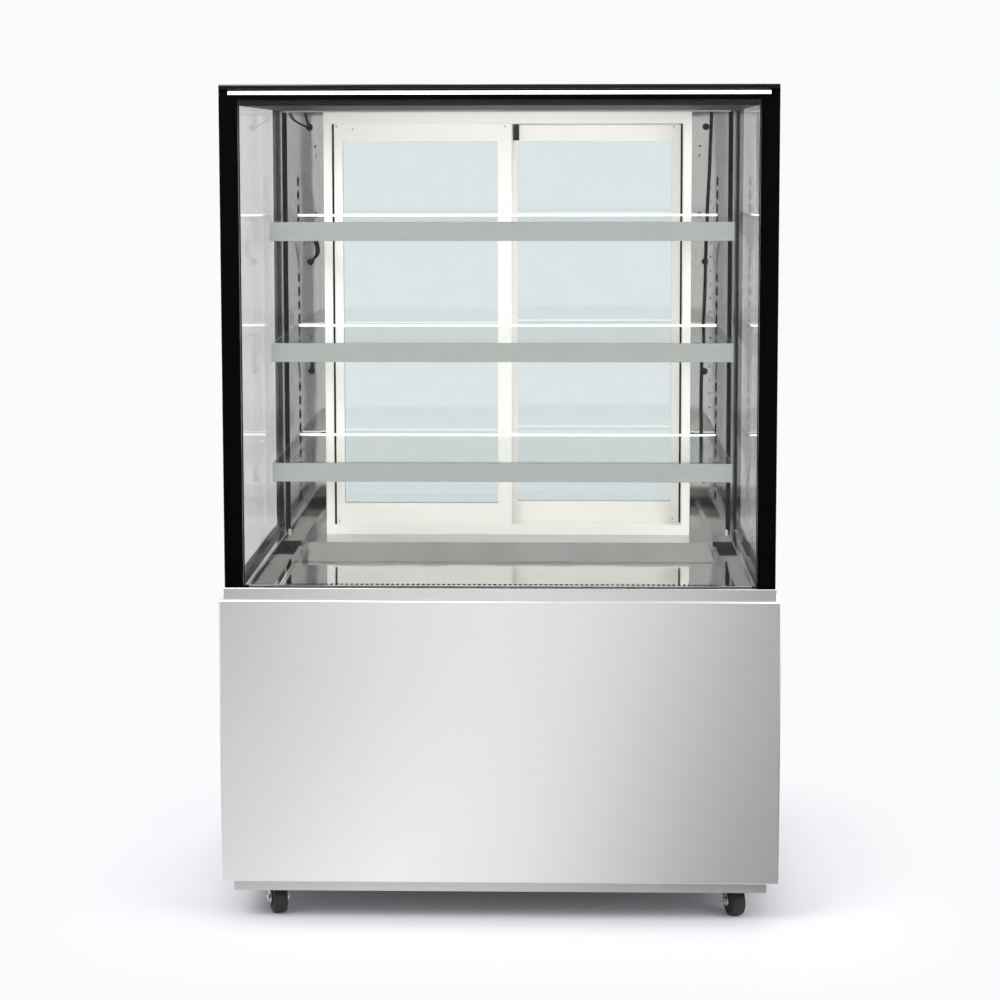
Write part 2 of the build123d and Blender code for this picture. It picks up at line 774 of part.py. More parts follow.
# Shelf glass: three plain shelves with a rounded outline
for number, level in enumerate(shelf_levels, 1):
    with BuildPart() as shelf:
        with BuildSketch(Plane.XY.offset(level - shelf_glass)):
            with Locations((0, (shelf_front + sheet + seat_gap + shelf_back) / 2)):
                Rectangle(2 * shelf_half_width, shelf_back - shelf_front - sheet - seat_gap)
        extrude(amount=shelf_glass)
        fillet(shelf.edges().filter_by(Axis.Z), 2)
    keep(shelf, f"shelf_glass_{number}")

# Shelf front rails: folded stainless with a face, a seat under the glass and a lower return
rail_seat_depth = 22.0
rail_inner = shelf_front + sheet
for number, level in enumerate(shelf_levels, 1):
    with BuildPart() as shelf_rail:
        seat = level - shelf_glass
        low = level - rail_height
        outline = [
            (shelf_front, low),
            (rail_inner + rail_seat_depth, low),
            (rail_inner + rail_seat_depth, low + 6),
            (rail_inner + rail_seat_depth - sheet, low + 6),
            (rail_inner + rail_seat_depth - sheet, low + sheet),
            (rail_inner, low + sheet),
            (rail_inner, seat - sheet),
            (rail_inner + rail_seat_depth, seat - sheet),
            (rail_inner + rail_seat_depth, seat),
            (rail_inner, seat),
            (rail_inner, level),
            (shelf_front, level),
        ]
        section_x(outline, (-shelf_half_width, shelf_half_width))
    keep(shelf_rail, f"shelf_rail_{number}")

# Lamps: a bar under the seat of each shelf rail, and a flush one at the back of the ceiling
lamp_size = (14.0, 9.0)
lamp_half = 366.0
canopy_lamp_y = (212.0, 242.0)
with BuildPart() as lamps:
    for level in shelf_levels:
        top = level - shelf_glass - sheet
        y = rail_inner + 2
        block((-lamp_half, lamp_half), (y, y + lamp_size[0]), (top - lamp_size[1], top))
    block((-400, 400), canopy_lamp_y, (ceiling_level - 2.5, ceiling_level))
keep(lamps, "lamps")

# Shelf brackets: tapered cantilever plates hooked into the slots, with a flange under the glass
bracket_thickness = 2.8
bracket_depth = 100.0
bracket_nose = 20.0
bracket_front = rail_inner + rail_seat_depth + 1
hook_drops = [12.5 + 1.5, 62.5 + 1.5]
hook_height = 11.0
hook_reach = 5.0
bracket_flange = 16.0
with BuildPart() as shelf_brackets:
    for level in shelf_levels:
        top = level - shelf_glass
        for side in sides.values():
            plate = span(slot_x - bracket_thickness / 2, slot_x + bracket_thickness / 2, side)
            with BuildSketch(Plane.YZ.offset(plate[0])) as bracket_outline:
                with BuildLine():
                    face = post_front - seat_gap
                    lower = (face, top + shelf_glass - bracket_depth)
                    toe = (bracket_front, top - bracket_nose)
                    Polyline(lower, (face, top), (bracket_front, top), toe)
                    Line(toe, (face - 70, top - 42))
                    Spline((face - 70, top - 42), lower, tangents=((1, -0.17), (0.35, -1)))
                make_face()
                for drop in hook_drops:
                    with Locations((face, top + shelf_glass - drop)):
                        Rectangle(hook_reach, hook_height, align=(Align.MIN, Align.CENTER))
            extrude(bracket_outline.sketch, amount=bracket_thickness)
            block(
                span(slot_x - bracket_flange, slot_x - bracket_thickness / 2, side),
                (bracket_front, face - 8),
                (top - heavy_sheet, top),
            )
keep(shelf_brackets, "shelf_brackets")

# Rear door frame: mitred aluminium with three fins that form the two tracks
fin_limits = [
    (door_frame_front, door_frame_front + fin),
    ((door_frame_front + back - fin) / 2, (door_frame_front + back + fin) / 2),
    (back - fin, back),
]
track_middles = [(fin_limits[n][1] + fin_limits[n + 1][0]) / 2 for n in (0, 1)]
frame_half = door_frame_half_width
opening_half = frame_half - side_fin_reach
opening_low = ledge_level + bottom_fin_reach
opening_high = frame_top - top_fin_reach
with BuildPart() as door_frame:
    block((-frame_half, frame_half), (door_frame_front, back), (ledge_level, frame_top))
    block((-opening_half, opening_half), (door_frame_front, back), (opening_low, opening_high), Mode.SUBTRACT)
    inside = (-frame_half + frame_wall, frame_half - frame_wall)
    inside_z = (ledge_level + frame_wall, frame_top - frame_wall)
    for n in (0, 1):
        block(inside, (fin_limits[n][1], fin_limits[n + 1][0]), inside_z, Mode.SUBTRACT)
    for middle in track_middles:
        rib = (middle - track_rib_width / 2, middle + track_rib_width / 2)
        block(inside, rib, (inside_z[0], inside_z[0] + track_rib_height))
keep(door_frame, "door_frame")

# Sliding leaves: a stile and rail frame with a shadow groove, a finger pull and low glides
glazing_pocket = (4.0, 16.0)
pocket_reach = 3.0
groove_width = 3.7
groove_depth = 6.0
glide_size = (26.0, 6.0)
pull_size = (16.0, 120.0)
pull_depth = 8.0
door_pane = 3.0
leaf_tracks = {"left": track_middles[0], "right": track_middles[1]}
for name, side in sides.items():
    leaf_front = leaf_tracks[name] - leaf_thickness / 2
    leaf_x = span(-leaf_overlap, leaf_outer, side)
    glass_x = span(-leaf_overlap + stile, leaf_outer - stile, side)
    glass_z = (leaf_bottom + bottom_rail, leaf_top - top_rail)
    leaf_y = (leaf_front, leaf_front + leaf_thickness)
    pocket_y = (leaf_front + glazing_pocket[0], leaf_front + glazing_pocket[1])
    with BuildPart() as leaf:
        block(leaf_x, leaf_y, (leaf_bottom, leaf_top))
        block(glass_x, leaf_y, glass_z, Mode.SUBTRACT)
        block(
            (glass_x[0] - pocket_reach, glass_x[1] + pocket_reach),
            pocket_y,
            (glass_z[0] - pocket_reach, glass_z[1] + pocket_reach),
            Mode.SUBTRACT,
        )
        groove_x = span(opening_half - groove_width, opening_half, side)
        block(groove_x, (leaf_front, leaf_front + groove_depth), (leaf_bottom, leaf_top), Mode.SUBTRACT)
        glide_gap = ledge_level + frame_wall + track_rib_height + seat_gap
        for x in (leaf_x[0] + 40, leaf_x[1] - 40):
            glide_y = (leaf_tracks[name] - glide_size[1] / 2, leaf_tracks[name] + glide_size[1] / 2)
            block((x - glide_size[0] / 2, x + glide_size[0] / 2), glide_y, (glide_gap, leaf_bottom))
        pull_x = side * (leaf_outer - stile / 2 - 1)
        with BuildSketch(Plane.XZ.offset(-leaf_y[1])):
            with Locations((pull_x, (leaf_bottom + leaf_top) / 2)):
                SlotOverall(pull_size[1], pull_size[0], rotation=90)
        extrude(amount=pull_depth, mode=Mode.SUBTRACT)
    keep(leaf, f"door_{name}")
    reach = pocket_reach - seat_gap
    with BuildPart() as leaf_glass:
        for y in (pocket_y[0], pocket_y[1] - door_pane):
            block(
                (glass_x[0] - reach, glass_x[1] + reach),
                (y, y + door_pane),
                (glass_z[0] - reach, glass_z[1] + reach),
            )
    keep(leaf_glass, f"door_glass_{name}")

# Canopy: a black cap over the glass, with a hollow beam above the doors
cap_rim = 5.0
with BuildPart() as canopy:
    block((-glass_half, glass_half), (glass_front, back), (glass_top, case_height))
    fillet(canopy.faces().sort_by(Axis.Z)[-1].edges(), 2)
    inside_x = (-glass_half + cap_rim, glass_half - cap_rim)
    block(inside_x, (glass_front + cap_rim, post_front), (glass_top, case_height - sheet), Mode.SUBTRACT)
    beam_x = (-side_unit_inner + seat_gap, side_unit_inner - seat_gap)
    block(beam_x, (post_front, back), (ceiling_level, glass_top))
    block(
        (beam_x[0] + heavy_sheet, beam_x[1] - heavy_sheet),
        (post_front + heavy_sheet, back - heavy_sheet),
        (ceiling_level + heavy_sheet, glass_top - heavy_sheet),
        Mode.SUBTRACT,
    )
keep(canopy, "canopy")

# Ceiling: a shallow dark pan under the cap
with BuildPart() as ceiling:
    block(beam_x, (front_unit_back + seat_gap, post_front), (ceiling_level, glass_top))
    offset(amount=-sheet, openings=ceiling.faces().sort_by(Axis.Z)[-1])
keep(ceiling, "ceiling")

# Leads: round black cable held between lamps, ceiling and grommets, on runs and tangent arcs
lead_radius = 1.2
lead_pitch = 2.5
sheath_radius = 3.0
lead_bay = grommet_x + 1.0


def lead(points, radius):
    """One round lead, with each arc as large as its two runs allow."""
    corners = [Vector(*point) for point in points]
    radii = []
    for before, corner, after in zip(corners, corners[1:], corners[2:]):
        turn = (corner - before).get_angle(after - corner)
        shorter = min((corner - before).length, (after - corner).length)
        radii.append(0.45 * shorter / tan(radians(turn / 2)))
    with BuildLine() as route:
        FilletPolyline(*points, radius=radii)
    with BuildSketch(Plane(origin=route.line @ 0, z_dir=route.line % 0)) as ring:
        RegularPolygon(radius, 8)
    sweep(ring.sketch, path=route.line)
    print("lead radii", [round(value, 1) for value in radii])


with BuildPart() as leads:
    into = post_front + sheet
    lamp_back = rail_inner + 2 + lamp_size[0] + 0.1
    for number, level in enumerate(shelf_levels):
        hole = level - grommet_drop
        under = level - shelf_glass - 5
        bulge = 15 if number == 0 else 2
        for shift in (-lead_pitch / 2, lead_pitch / 2):
            lead(
                [
                    (-grommet_x + shift, into, hole),
                    (-grommet_x + shift, post_front - 9, hole),
                    (-grommet_x + shift + bulge, post_front - 15, hole + 14),
                    (-grommet_x + shift + bulge * 0.7, post_front - 20, hole + 36),
                    (-lead_bay + 3 + shift, post_front - 32, under),
                    (-lead_bay + 3 + shift, lamp_back, under),
                ],
                lead_radius,
            )
    for shift, reach in ((-lead_pitch / 2, 33), (lead_pitch / 2, 7)):
        lead(
            [
                (-grommet_x + shift, into, top_grommet),
                (-grommet_x + shift, post_front - 9, top_grommet),
                (-grommet_x + shift - reach * 0.5, post_front - 14, top_grommet + 6),
                (-grommet_x + shift - reach, post_front - 15, ceiling_level - 11),
                (-grommet_x + shift - reach - 1, post_front - 15, ceiling_level - 0.3),
            ],
            lead_radius,
        )
    hang = post_front - grommet_rise - sheath_radius - 0.3
    last_plug = grommet_levels[-1]
    lead(
        [
            (grommet_x + 10, hang, ceiling_level - 0.3),
            (grommet_x + 8.5, hang, 1240),
            (grommet_x + 2, hang, 1110),
            (grommet_x + 0.5, hang, 985),
            (grommet_x - 5, hang, 865),
            (grommet_x - 5.5, hang - 1, 760),
            (grommet_x - 3, hang - 5, last_plug + 38),
            (grommet_x, hang - 14, last_plug),
            (grommet_x, post_front - grommet_rise - 0.1, last_plug),
        ],
        sheath_radius,
    )
keep(leads, "leads")

# Castors: top plates with a swivel head and kingpin, fixed to the chassis
castors = {
    "front_left": (-castor_x, castor_front),
    "front_right": (castor_x, castor_front),
    "back_left": (-castor_x, castor_back),
    "back_right": (castor_x, castor_back),
}
plate_size = (58.0, 58.0)
plate_thickness = 2.5
plate_top = base_bottom - heavy_sheet
head_radius = 19.0
head_bottom = 57.0
kingpin_radius = 5.0
crown_top = head_bottom - 0.3
crown_thickness = 3.0
crown_bottom = crown_top - crown_thickness
with BuildPart() as castor_plates:
    for x, y in castors.values():
        with BuildSketch(Plane.XY.offset(plate_top)):
            with Locations((x, y)):
                RectangleRounded(*plate_size, 6)
                with GridLocations(44, 44, 2, 2):
                    RegularPolygon(3, 8, mode=Mode.SUBTRACT)
        extrude(amount=-plate_thickness)
        with BuildSketch(Plane.XY.offset(plate_top - plate_thickness)) as head:
            with Locations((x, y)):
                Circle(head_radius)
        extrude(amount=-(plate_top - plate_thickness - head_bottom), taper=12)
        with BuildSketch(Plane.XY.offset(head_bottom)):
            with Locations((x, y)):
                Circle(kingpin_radius)
        extrude(amount=-(head_bottom - crown_bottom + 1.2))
keep(castor_plates, "castor_plates")

# Castor forks: a folded crown and two cheeks that hold the axle, turned to where they stand
cheek_gap = 1.0
cheek = 2.2
axle_radius = 4.0
boss_radius = 9.0
cheek_inner = wheel_width / 2 + cheek_gap
for name, (x, y) in castors.items():
    trail_angle = castor_turn - 90
    pose = Plane(origin=(x, y, 0), x_dir=(cos(radians(trail_angle)), sin(radians(trail_angle)), 0), z_dir=(0, 0, 1))
    upright = Plane(origin=(x, y, 0), x_dir=pose.x_dir, z_dir=-pose.y_dir)
    with BuildPart() as fork:
        with BuildSketch(pose.offset(crown_bottom)):
            with Locations((6, 0)):
                RectangleRounded(44, 2 * (cheek_inner + cheek), 5)
            Circle(kingpin_radius + running_clearance, mode=Mode.SUBTRACT)
        extrude(amount=crown_thickness)
        for direction in (-1, 1):
            inner = cheek_inner if direction > 0 else -cheek_inner - cheek
            with BuildSketch(upright.offset(inner)) as cheek_face:
                with BuildLine():
                    Polyline(
                        (-10, crown_top),
                        (25, crown_top),
                        (castor_trail + boss_radius, wheel_radius),
                        (castor_trail, wheel_radius - boss_radius),
                        (castor_trail - boss_radius, wheel_radius),
                        (-10, crown_bottom),
                        close=True,
                    )
                make_face()
                with Locations((castor_trail, wheel_radius)):
                    Circle(boss_radius)
            extrude(cheek_face.sketch, amount=cheek)
        with BuildSketch(upright.offset(-cheek_inner - cheek - 2)) as axle:
            with Locations((castor_trail, wheel_radius)):
                Circle(axle_radius)
        extrude(axle.sketch, amount=2 * (cheek_inner + cheek + 2))
    keep(fork, f"castor_fork_{name}")

    hub_radius = 13.0
    with BuildPart() as wheel:
        with BuildSketch(pose.offset(wheel_radius)) as wheel_profile:
            with BuildLine():
                centre = castor_trail
                half_width = wheel_width / 2
                bore = axle_radius + running_clearance
                half_profile = [
                    (bore, half_width),
                    (hub_radius, half_width),
                    (hub_radius + 2, half_width - 2),
                    (wheel_radius - 6, half_width - 2),
                    (wheel_radius - 4, half_width - 0.5),
                    (wheel_radius - 1, half_width - 2),
                    (wheel_radius, half_width - 5),
                ]
                mirrored = [(distance, -across) for distance, across in reversed(half_profile)]
                Polyline(*[(centre + distance, across) for distance, across in half_profile + mirrored], close=True)
            make_face()
        axle_point = pose.offset(wheel_radius).from_local_coords(Vector(castor_trail, 0, 0))
        revolve(wheel_profile.sketch, axis=Axis(axle_point, pose.y_dir))
    keep(wheel, f"castor_wheel_{name}")
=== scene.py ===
# %% [markdown]
# # A refrigerated cake display case
#
# The CAD model already holds every panel, pane, shelf, door and castor in its real place.
# This script dresses it: it gives each piece the finish of the real material, adds small
# fixings that are too fine for the CAD model, and lights it the way a catalogue does.

# %% Load the case
from math import cos, pi, radians, sin

import bpy
import bmesh
from mathutils import Matrix, Vector


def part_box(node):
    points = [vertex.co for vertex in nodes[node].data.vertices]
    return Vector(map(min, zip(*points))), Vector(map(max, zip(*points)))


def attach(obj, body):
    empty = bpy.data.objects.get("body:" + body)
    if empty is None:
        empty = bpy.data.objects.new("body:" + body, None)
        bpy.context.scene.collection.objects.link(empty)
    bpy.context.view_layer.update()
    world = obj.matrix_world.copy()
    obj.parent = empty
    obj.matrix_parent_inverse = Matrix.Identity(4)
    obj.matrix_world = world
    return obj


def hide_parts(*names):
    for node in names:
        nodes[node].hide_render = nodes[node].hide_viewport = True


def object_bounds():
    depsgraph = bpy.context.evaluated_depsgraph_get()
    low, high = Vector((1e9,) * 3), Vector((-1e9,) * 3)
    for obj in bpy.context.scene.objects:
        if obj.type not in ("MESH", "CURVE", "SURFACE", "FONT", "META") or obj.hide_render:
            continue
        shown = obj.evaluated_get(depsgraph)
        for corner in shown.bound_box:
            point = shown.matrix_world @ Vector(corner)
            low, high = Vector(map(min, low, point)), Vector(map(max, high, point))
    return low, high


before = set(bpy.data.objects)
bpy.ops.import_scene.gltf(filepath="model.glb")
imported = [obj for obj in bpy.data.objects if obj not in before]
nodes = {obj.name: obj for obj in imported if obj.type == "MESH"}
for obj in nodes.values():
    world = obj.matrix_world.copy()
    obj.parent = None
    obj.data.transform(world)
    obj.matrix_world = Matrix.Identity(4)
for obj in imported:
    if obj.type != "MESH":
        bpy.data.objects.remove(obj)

cad_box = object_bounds()
print("loaded", len(nodes), "pieces, box", [round(v, 4) for corner in cad_box for v in corner])

# %% [markdown]
# ## Colour and nodes
#
# Colour charts and catalogues give sRGB values, and a shader counts in linear light. One
# function turns the one into the other, so that every colour below can be read as it looks.
# A second function adds a node with its settings and links in one line, which keeps a
# material short enough to read at a glance.

# %% Helpers for colours and nodes
mm = 0.001


def srgb(code):
    """A six-figure sRGB hex colour as linear red, green, blue and alpha."""
    channels = [int(code[n : n + 2], 16) / 255 for n in (0, 2, 4)]
    linear = [c / 12.92 if c <= 0.04045 else ((c + 0.055) / 1.055) ** 2.4 for c in channels]
    return (*linear, 1.0)


def add(tree, kind, inputs=None, **settings):
    """One node. A value in inputs is either set on the socket or, if it is a socket, linked to it."""
    made = tree.nodes.new(kind)
    for key, value in settings.items():
        setattr(made, key, value)
    for key, value in (inputs or {}).items():
        if isinstance(value, bpy.types.NodeSocket):
            tree.links.new(value, made.inputs[key])
        else:
            made.inputs[key].default_value = value
    return made


def finish(name, colour, **inputs):
    """A new material with one Principled shader. Returns the material, its tree and the shader."""
    material = bpy.data.materials.new(name)
    material.use_nodes = True
    tree = material.node_tree
    tree.nodes.clear()
    shader = add(tree, "ShaderNodeBsdfPrincipled", {"Base Color": srgb(colour)})
    for key, value in inputs.items():
        shader.inputs[key.replace("_", " ").title().replace("Ior", "IOR")].default_value = value
    add(tree, "ShaderNodeOutputMaterial", {"Surface": shader.outputs[0]})
    return material, tree, shader


def grain(tree, size, detail=2.0):
    """Noise whose patches measure size, three lengths in millimetres, along X, Y and Z."""
    place = add(tree, "ShaderNodeTexCoord").outputs["Object"]
    stretched = add(tree, "ShaderNodeMapping", {"Vector": place, "Scale": [1 / (s * mm) for s in size]})
    noise = add(tree, "ShaderNodeTexNoise", {"Vector": stretched.outputs[0], "Scale": 1.0, "Detail": detail})
    return noise.outputs["Fac"]


def wear(tree, shader, pattern, colours=None, roughness=None, height=None):
    """Lets a pattern drive a shader's colour between two hex codes, its roughness and its bump."""
    if colours:
        mix = add(tree, "ShaderNodeMix", {"Factor": pattern}, data_type="RGBA")
        mix.inputs["A"].default_value, mix.inputs["B"].default_value = map(srgb, colours)
        tree.links.new(mix.outputs["Result"], shader.inputs["Base Color"])
    if roughness:
        low, high = roughness
        spread = add(tree, "ShaderNodeMapRange", {"Value": pattern, "To Min": low, "To Max": high})
        tree.links.new(spread.outputs[0], shader.inputs["Roughness"])
    if height:
        bump = add(tree, "ShaderNodeBump", {"Height": pattern, "Distance": height * mm, "Strength": 1.0})
        tree.links.new(bump.outputs[0], shader.inputs["Normal"])


print("helpers ready")

# %% [markdown]
# ## Stainless steel
#
# Most of the case is stainless sheet, in three finishes. The panels of the base are brushed
# along their length with a fine belt, so their reflections blur into a smooth gradient. The
# deck, ledges and posts are polished to a mirror, a little wavy because thin sheet never lies
# quite flat. The shelf rails are satin, between the two. A stainless mirror has a grey tone,
# not white, because the metal takes a third to a half of the light. The posts, ledges and side
# rails take a darker copy of the deck's mirror steel, a painted shade. The brushed panels stand
# lighter here than the metal is, as bright as a catalogue's exposure shows them.

# %% Brushed, polished and satin stainless
brush_width = 1.2  # a real belt leaves 0.1 mm lines, drawn coarser so that they show
brush_length = 90.0
sheet_waves = (90, 90, 140)
satin_lines = (60, 1.0, 1.0)


def brushed_stainless(name, colours):
    """Panels and sill: a number 4 belt finish between two near tones, with lines along X."""
    material, tree, shader = finish(name, colours[0], metallic=1.0)
    lines = grain(tree, (brush_length, brush_width, brush_width))
    wear(tree, shader, lines, colours=colours, roughness=(0.27, 0.3), height=0.001)
    return material


def polished_stainless(name, colours):
    """Bright annealed mirror sheet between two tones, slightly wavy."""
    material, tree, shader = finish(name, colours[0], metallic=1.0)
    waves = grain(tree, sheet_waves, detail=1.0)
    wear(tree, shader, waves, colours=colours, roughness=(0.03, 0.08), height=0.5)
    return material


def satin_stainless():
    """Shelf rails and brackets: a satin finish, with lines along X."""
    material, tree, shader = finish("satin_stainless", "b4b7b2", metallic=1.0)
    lines = grain(tree, satin_lines)
    wear(tree, shader, lines, colours=("afb3ae", "babdb8"), roughness=(0.2, 0.27), height=0.004)
    return material


metals = {
    "panel": brushed_stainless("brushed_stainless_panel", ("eeeeee", "f2f2f2")),
    "sill": brushed_stainless("brushed_stainless_sill", ("dfdfdf", "e5e5e5")),
    "deck": polished_stainless("polished_stainless_deck", ("c2c3bf", "d6d7d4")),
    # posts, ledges and side rails: the deck's mirror steel, darker by a painted shade
    "post": polished_stainless("polished_stainless_post_painted_shade", ("a9aba6", "bfc0bc")),
    "satin": satin_stainless(),
}
print("metals:", ", ".join(m.name for m in metals.values()))

# %% [markdown]
# ## Glass
#
# Float glass is clear, with a breath of green from its iron. Each pane is a closed solid, so
# the shader bends light at both faces as the real pane does. Shadow and diffuse rays take a
# plain transparent path instead, because refracted light would reach the shelves only by
# chance and leave them dark and noisy. The doors have coated panes with a cool blue-green tone.
#
# Two panes in front of each other mirror about a sixth of a white room, a grey veil over all
# that is dark behind them. The photograph shows no veil, so the front and side panes are taken
# to have a low-reflection coat. A lower index of refraction mirrors less, and stands for it.

# %% Clear and coated glass
bare_index = 1.52
coated_index = 1.16
side_index = 1.04  # the camera looks along the side panes, where any pane mirrors much more
roller_waves = (160, 160, 160)


def float_glass(name, tint, shade, index=bare_index):
    """Glass with a tint for what shows through it, a shade for the light it lets pass and an index."""
    material, tree, shader = finish(name, tint, roughness=0.0, ior=index, transmission_weight=1.0)
    rolled = grain(tree, roller_waves, detail=0.0)
    wear(tree, shader, rolled, height=0.01)
    path = add(tree, "ShaderNodeLightPath")
    soft = add(
        tree,
        "ShaderNodeMath",
        {0: path.outputs["Is Shadow Ray"], 1: path.outputs["Is Diffuse Ray"]},
        operation="MAXIMUM",
    )
    clear = add(tree, "ShaderNodeBsdfTransparent", {"Color": srgb(shade)})
    both = add(tree, "ShaderNodeMixShader", {0: soft.outputs[0], 1: shader.outputs[0], 2: clear.outputs[0]})
    tree.links.new(both.outputs[0], tree.nodes["Material Output"].inputs["Surface"])
    return material


glass = {
    "case": float_glass("low_reflection_float_glass", "fefefe", "fbfbfb", index=coated_index),
    "side": float_glass("low_reflection_side_glass", "fefefe", "fbfbfb", index=side_index),
    "shelf": float_glass("shelf_float_glass", "e3e8e5", "f3f4f3"),
    "door": float_glass("coated_door_glass", "f1f6f5", "f3f4f4"),
}
print("glass:", ", ".join(m.name for m in glass.values()))

# %% [markdown]
# ## Coatings, light, rubber and plastic
#
# The door frame and its leaves are extruded aluminium with a white powder coat, which melts
# into a faint orange-peel texture. The black border is enamel between the panes, smooth and
# deep. The white line over the front glass is opal acrylic that glows evenly, so a plain
# emission is right. The lamps' own diffusers stay almost dark: the light that they give comes
# from strip lights, further down, which no mirror shows as a glaring bar. Rubber and moulded
# plastic differ by their grain and by how broad their highlights are.

# %% Coatings and enamels


def powder_coat():
    """White polyester powder coat on aluminium."""
    material, tree, shader = finish("white_powder_coat", "f3f2ec", roughness=0.38)
    peel = grain(tree, (2.5, 2.5, 2.5), detail=1.0)
    wear(tree, shader, peel, colours=("f1f0ea", "f5f4ef"), roughness=(0.34, 0.42), height=0.02)
    return material


def black_enamel():
    """Black ceramic enamel seen through the front pane."""
    material, tree, shader = finish("black_ceramic_enamel", "040404", roughness=0.3, specular_ior_level=0.15)
    fired = grain(tree, (1.5, 1.5, 1.5))
    wear(tree, shader, fired, colours=("030303", "070707"), roughness=(0.25, 0.35), height=0.003)
    return material


def gloss_black_paint():
    """The cap over the glass: black gloss paint on steel."""
    material, tree, shader = finish("gloss_black_paint", "0d0d0e", roughness=0.16, coat_weight=0.5)
    peel = grain(tree, (4, 4, 4), detail=1.0)
    wear(tree, shader, peel, colours=("0b0b0c", "111112"), roughness=(0.13, 0.2), height=0.01)
    return material


def painted_shade_ceiling():
    """The ceiling pan: a dark grey painted shade and painted dark reflection, with a satin finish."""
    material, tree, shader = finish("dark_grey_painted_shade", "161616", roughness=0.5, specular_ior_level=0.15)
    peel = grain(tree, (3, 3, 3), detail=1.0)
    wear(tree, shader, peel, colours=("141414", "191919"), roughness=(0.45, 0.55), height=0.01)
    return material


def opal_acrylic(name, glow, colours):
    """Diffusers, the white line over the front glass and the painted glow of lit glass edges, each with its
    own glow.
    """
    material, tree, shader = finish(name, colours[0], roughness=0.35, emission_strength=glow)
    shader.inputs["Emission Color"].default_value = srgb("ffffff")
    cloud = grain(tree, (6, 6, 6), detail=1.0)
    wear(tree, shader, cloud, colours=colours, roughness=(0.3, 0.4))
    return material


# %% Rubber and plastics


def moulded(name, colours, roughness, pattern, height, reflection=0.5):
    """A moulded piece with two near colours, a grain of pattern millimetres and a level of reflection."""
    material, tree, shader = finish(name, colours[0], roughness=roughness[0], specular_ior_level=reflection)
    wear(tree, shader, grain(tree, (pattern,) * 3), colours=colours, roughness=roughness, height=height)
    return material


def plated(name, colours, roughness, pattern, height):
    """A bare or plated metal piece with two near colours and a grain of pattern millimetres."""
    material, tree, shader = finish(name, colours[0], metallic=1.0, roughness=roughness[0])
    wear(tree, shader, grain(tree, (pattern,) * 3), colours=colours, roughness=roughness, height=height)
    return material


rubber = moulded("black_epdm_rubber", ("0a0a0a", "101010"), (0.55, 0.7), 1.5, 0.02, reflection=0.2)
abs_black = moulded("black_abs_fine_texture", ("151516", "1d1d1e"), (0.42, 0.55), 1.2, 0.02)
switch_black = moulded("black_nylon_gloss", ("0e0e0f", "161617"), (0.2, 0.3), 2.0, 0.01)
liner = moulded("dark_grey_liner_plastic", ("2a2b2c", "333435"), (0.45, 0.6), 8.0, 0.02)
tread = moulded("black_wheel_rubber", ("141414", "1c1c1c"), (0.5, 0.65), 1.5, 0.03)
shell_black = moulded("black_stoved_enamel", ("101011", "181819"), (0.28, 0.4), 5.0, 0.03)
zinc = plated("bright_zinc_plate", ("d2d4d6", "e2e4e6"), (0.14, 0.26), 3.0, 0.02)
fins = plated("mill_aluminium_fins", ("bcbdbf", "cccdce"), (0.3, 0.45), 4.0, 0.02)
copper = plated("drawn_copper_tube", ("b87358", "c98a6d"), (0.2, 0.35), 10.0, 0.02)
chassis_steel = plated("satin_chassis_steel", ("c2c3c3", "cccdcd"), (0.35, 0.5), 14.0, 0.01)
coatings = {
    "powder": powder_coat(),
    "enamel": black_enamel(),
    "cap": gloss_black_paint(),
    # the ceiling's dark grey is a painted shade and painted dark reflection
    "ceiling": painted_shade_ceiling(),
    "opal": opal_acrylic("opal_acrylic_line", 1.0, ("fcfcfc", "ffffff")),
    "lamp": opal_acrylic("opal_acrylic_lamp", 0.02, ("96968e", "9c9c94")),
}
print("coatings:", ", ".join(m.name for m in coatings.values()))

# %% [markdown]
# ## Dressing the pieces
#
# Each piece of the CAD model gets its finish by name. Folded sheet and cut glass never end in
# a perfectly sharp edge, so a small bevel modifier rounds the edges and gives them the thin
# highlights that make metal and glass read as real.

# %% Finishes for every piece
finishes = {
    metals["panel"]: ("front_panel",),
    metals["sill"]: ("sill", "side_panel_", "rear_panel"),
    metals["deck"]: ("deck_plate", "air_grille"),
    metals["post"]: ("post_", "side_ledge_", "side_rail_", "rear_ledge"),
    metals["satin"]: ("shelf_rail_", "shelf_brackets"),
    glass["case"]: ("front_glass",),
    glass["side"]: ("side_glass_",),
    glass["shelf"]: ("shelf_glass_",),
    glass["door"]: ("door_glass_",),
    coatings["powder"]: ("door_frame", "door_left", "door_right"),
    coatings["enamel"]: ("front_border",),
    coatings["cap"]: ("canopy",),
    coatings["ceiling"]: ("ceiling",),
    coatings["opal"]: ("light_line",),
    coatings["lamp"]: ("lamps",),
    rubber: ("side_seals", "grommets", "leads"),
    abs_black: ("controls", "cable_gland", "drain_tray", "evaporator_fan", "condenser_fan"),
    switch_black: ("power_switch", "light_switch"),
    liner: ("well_shell",),
    fins: ("evaporator", "condenser_c"),
    shell_black: ("compressor",),
    copper: ("copper_lines",),
    zinc: ("castor_plates", "castor_fork_"),
    tread: ("castor_wheel_",),
    chassis_steel: ("chassis_tray",),
}
dressed = set()
for material, starts in finishes.items():
    for name, piece in nodes.items():
        if name.startswith(starts) and name not in dressed:
            piece.data.materials.clear()
            piece.data.materials.append(material)
            dressed.add(name)
print("dressed", len(dressed), "of", len(nodes))

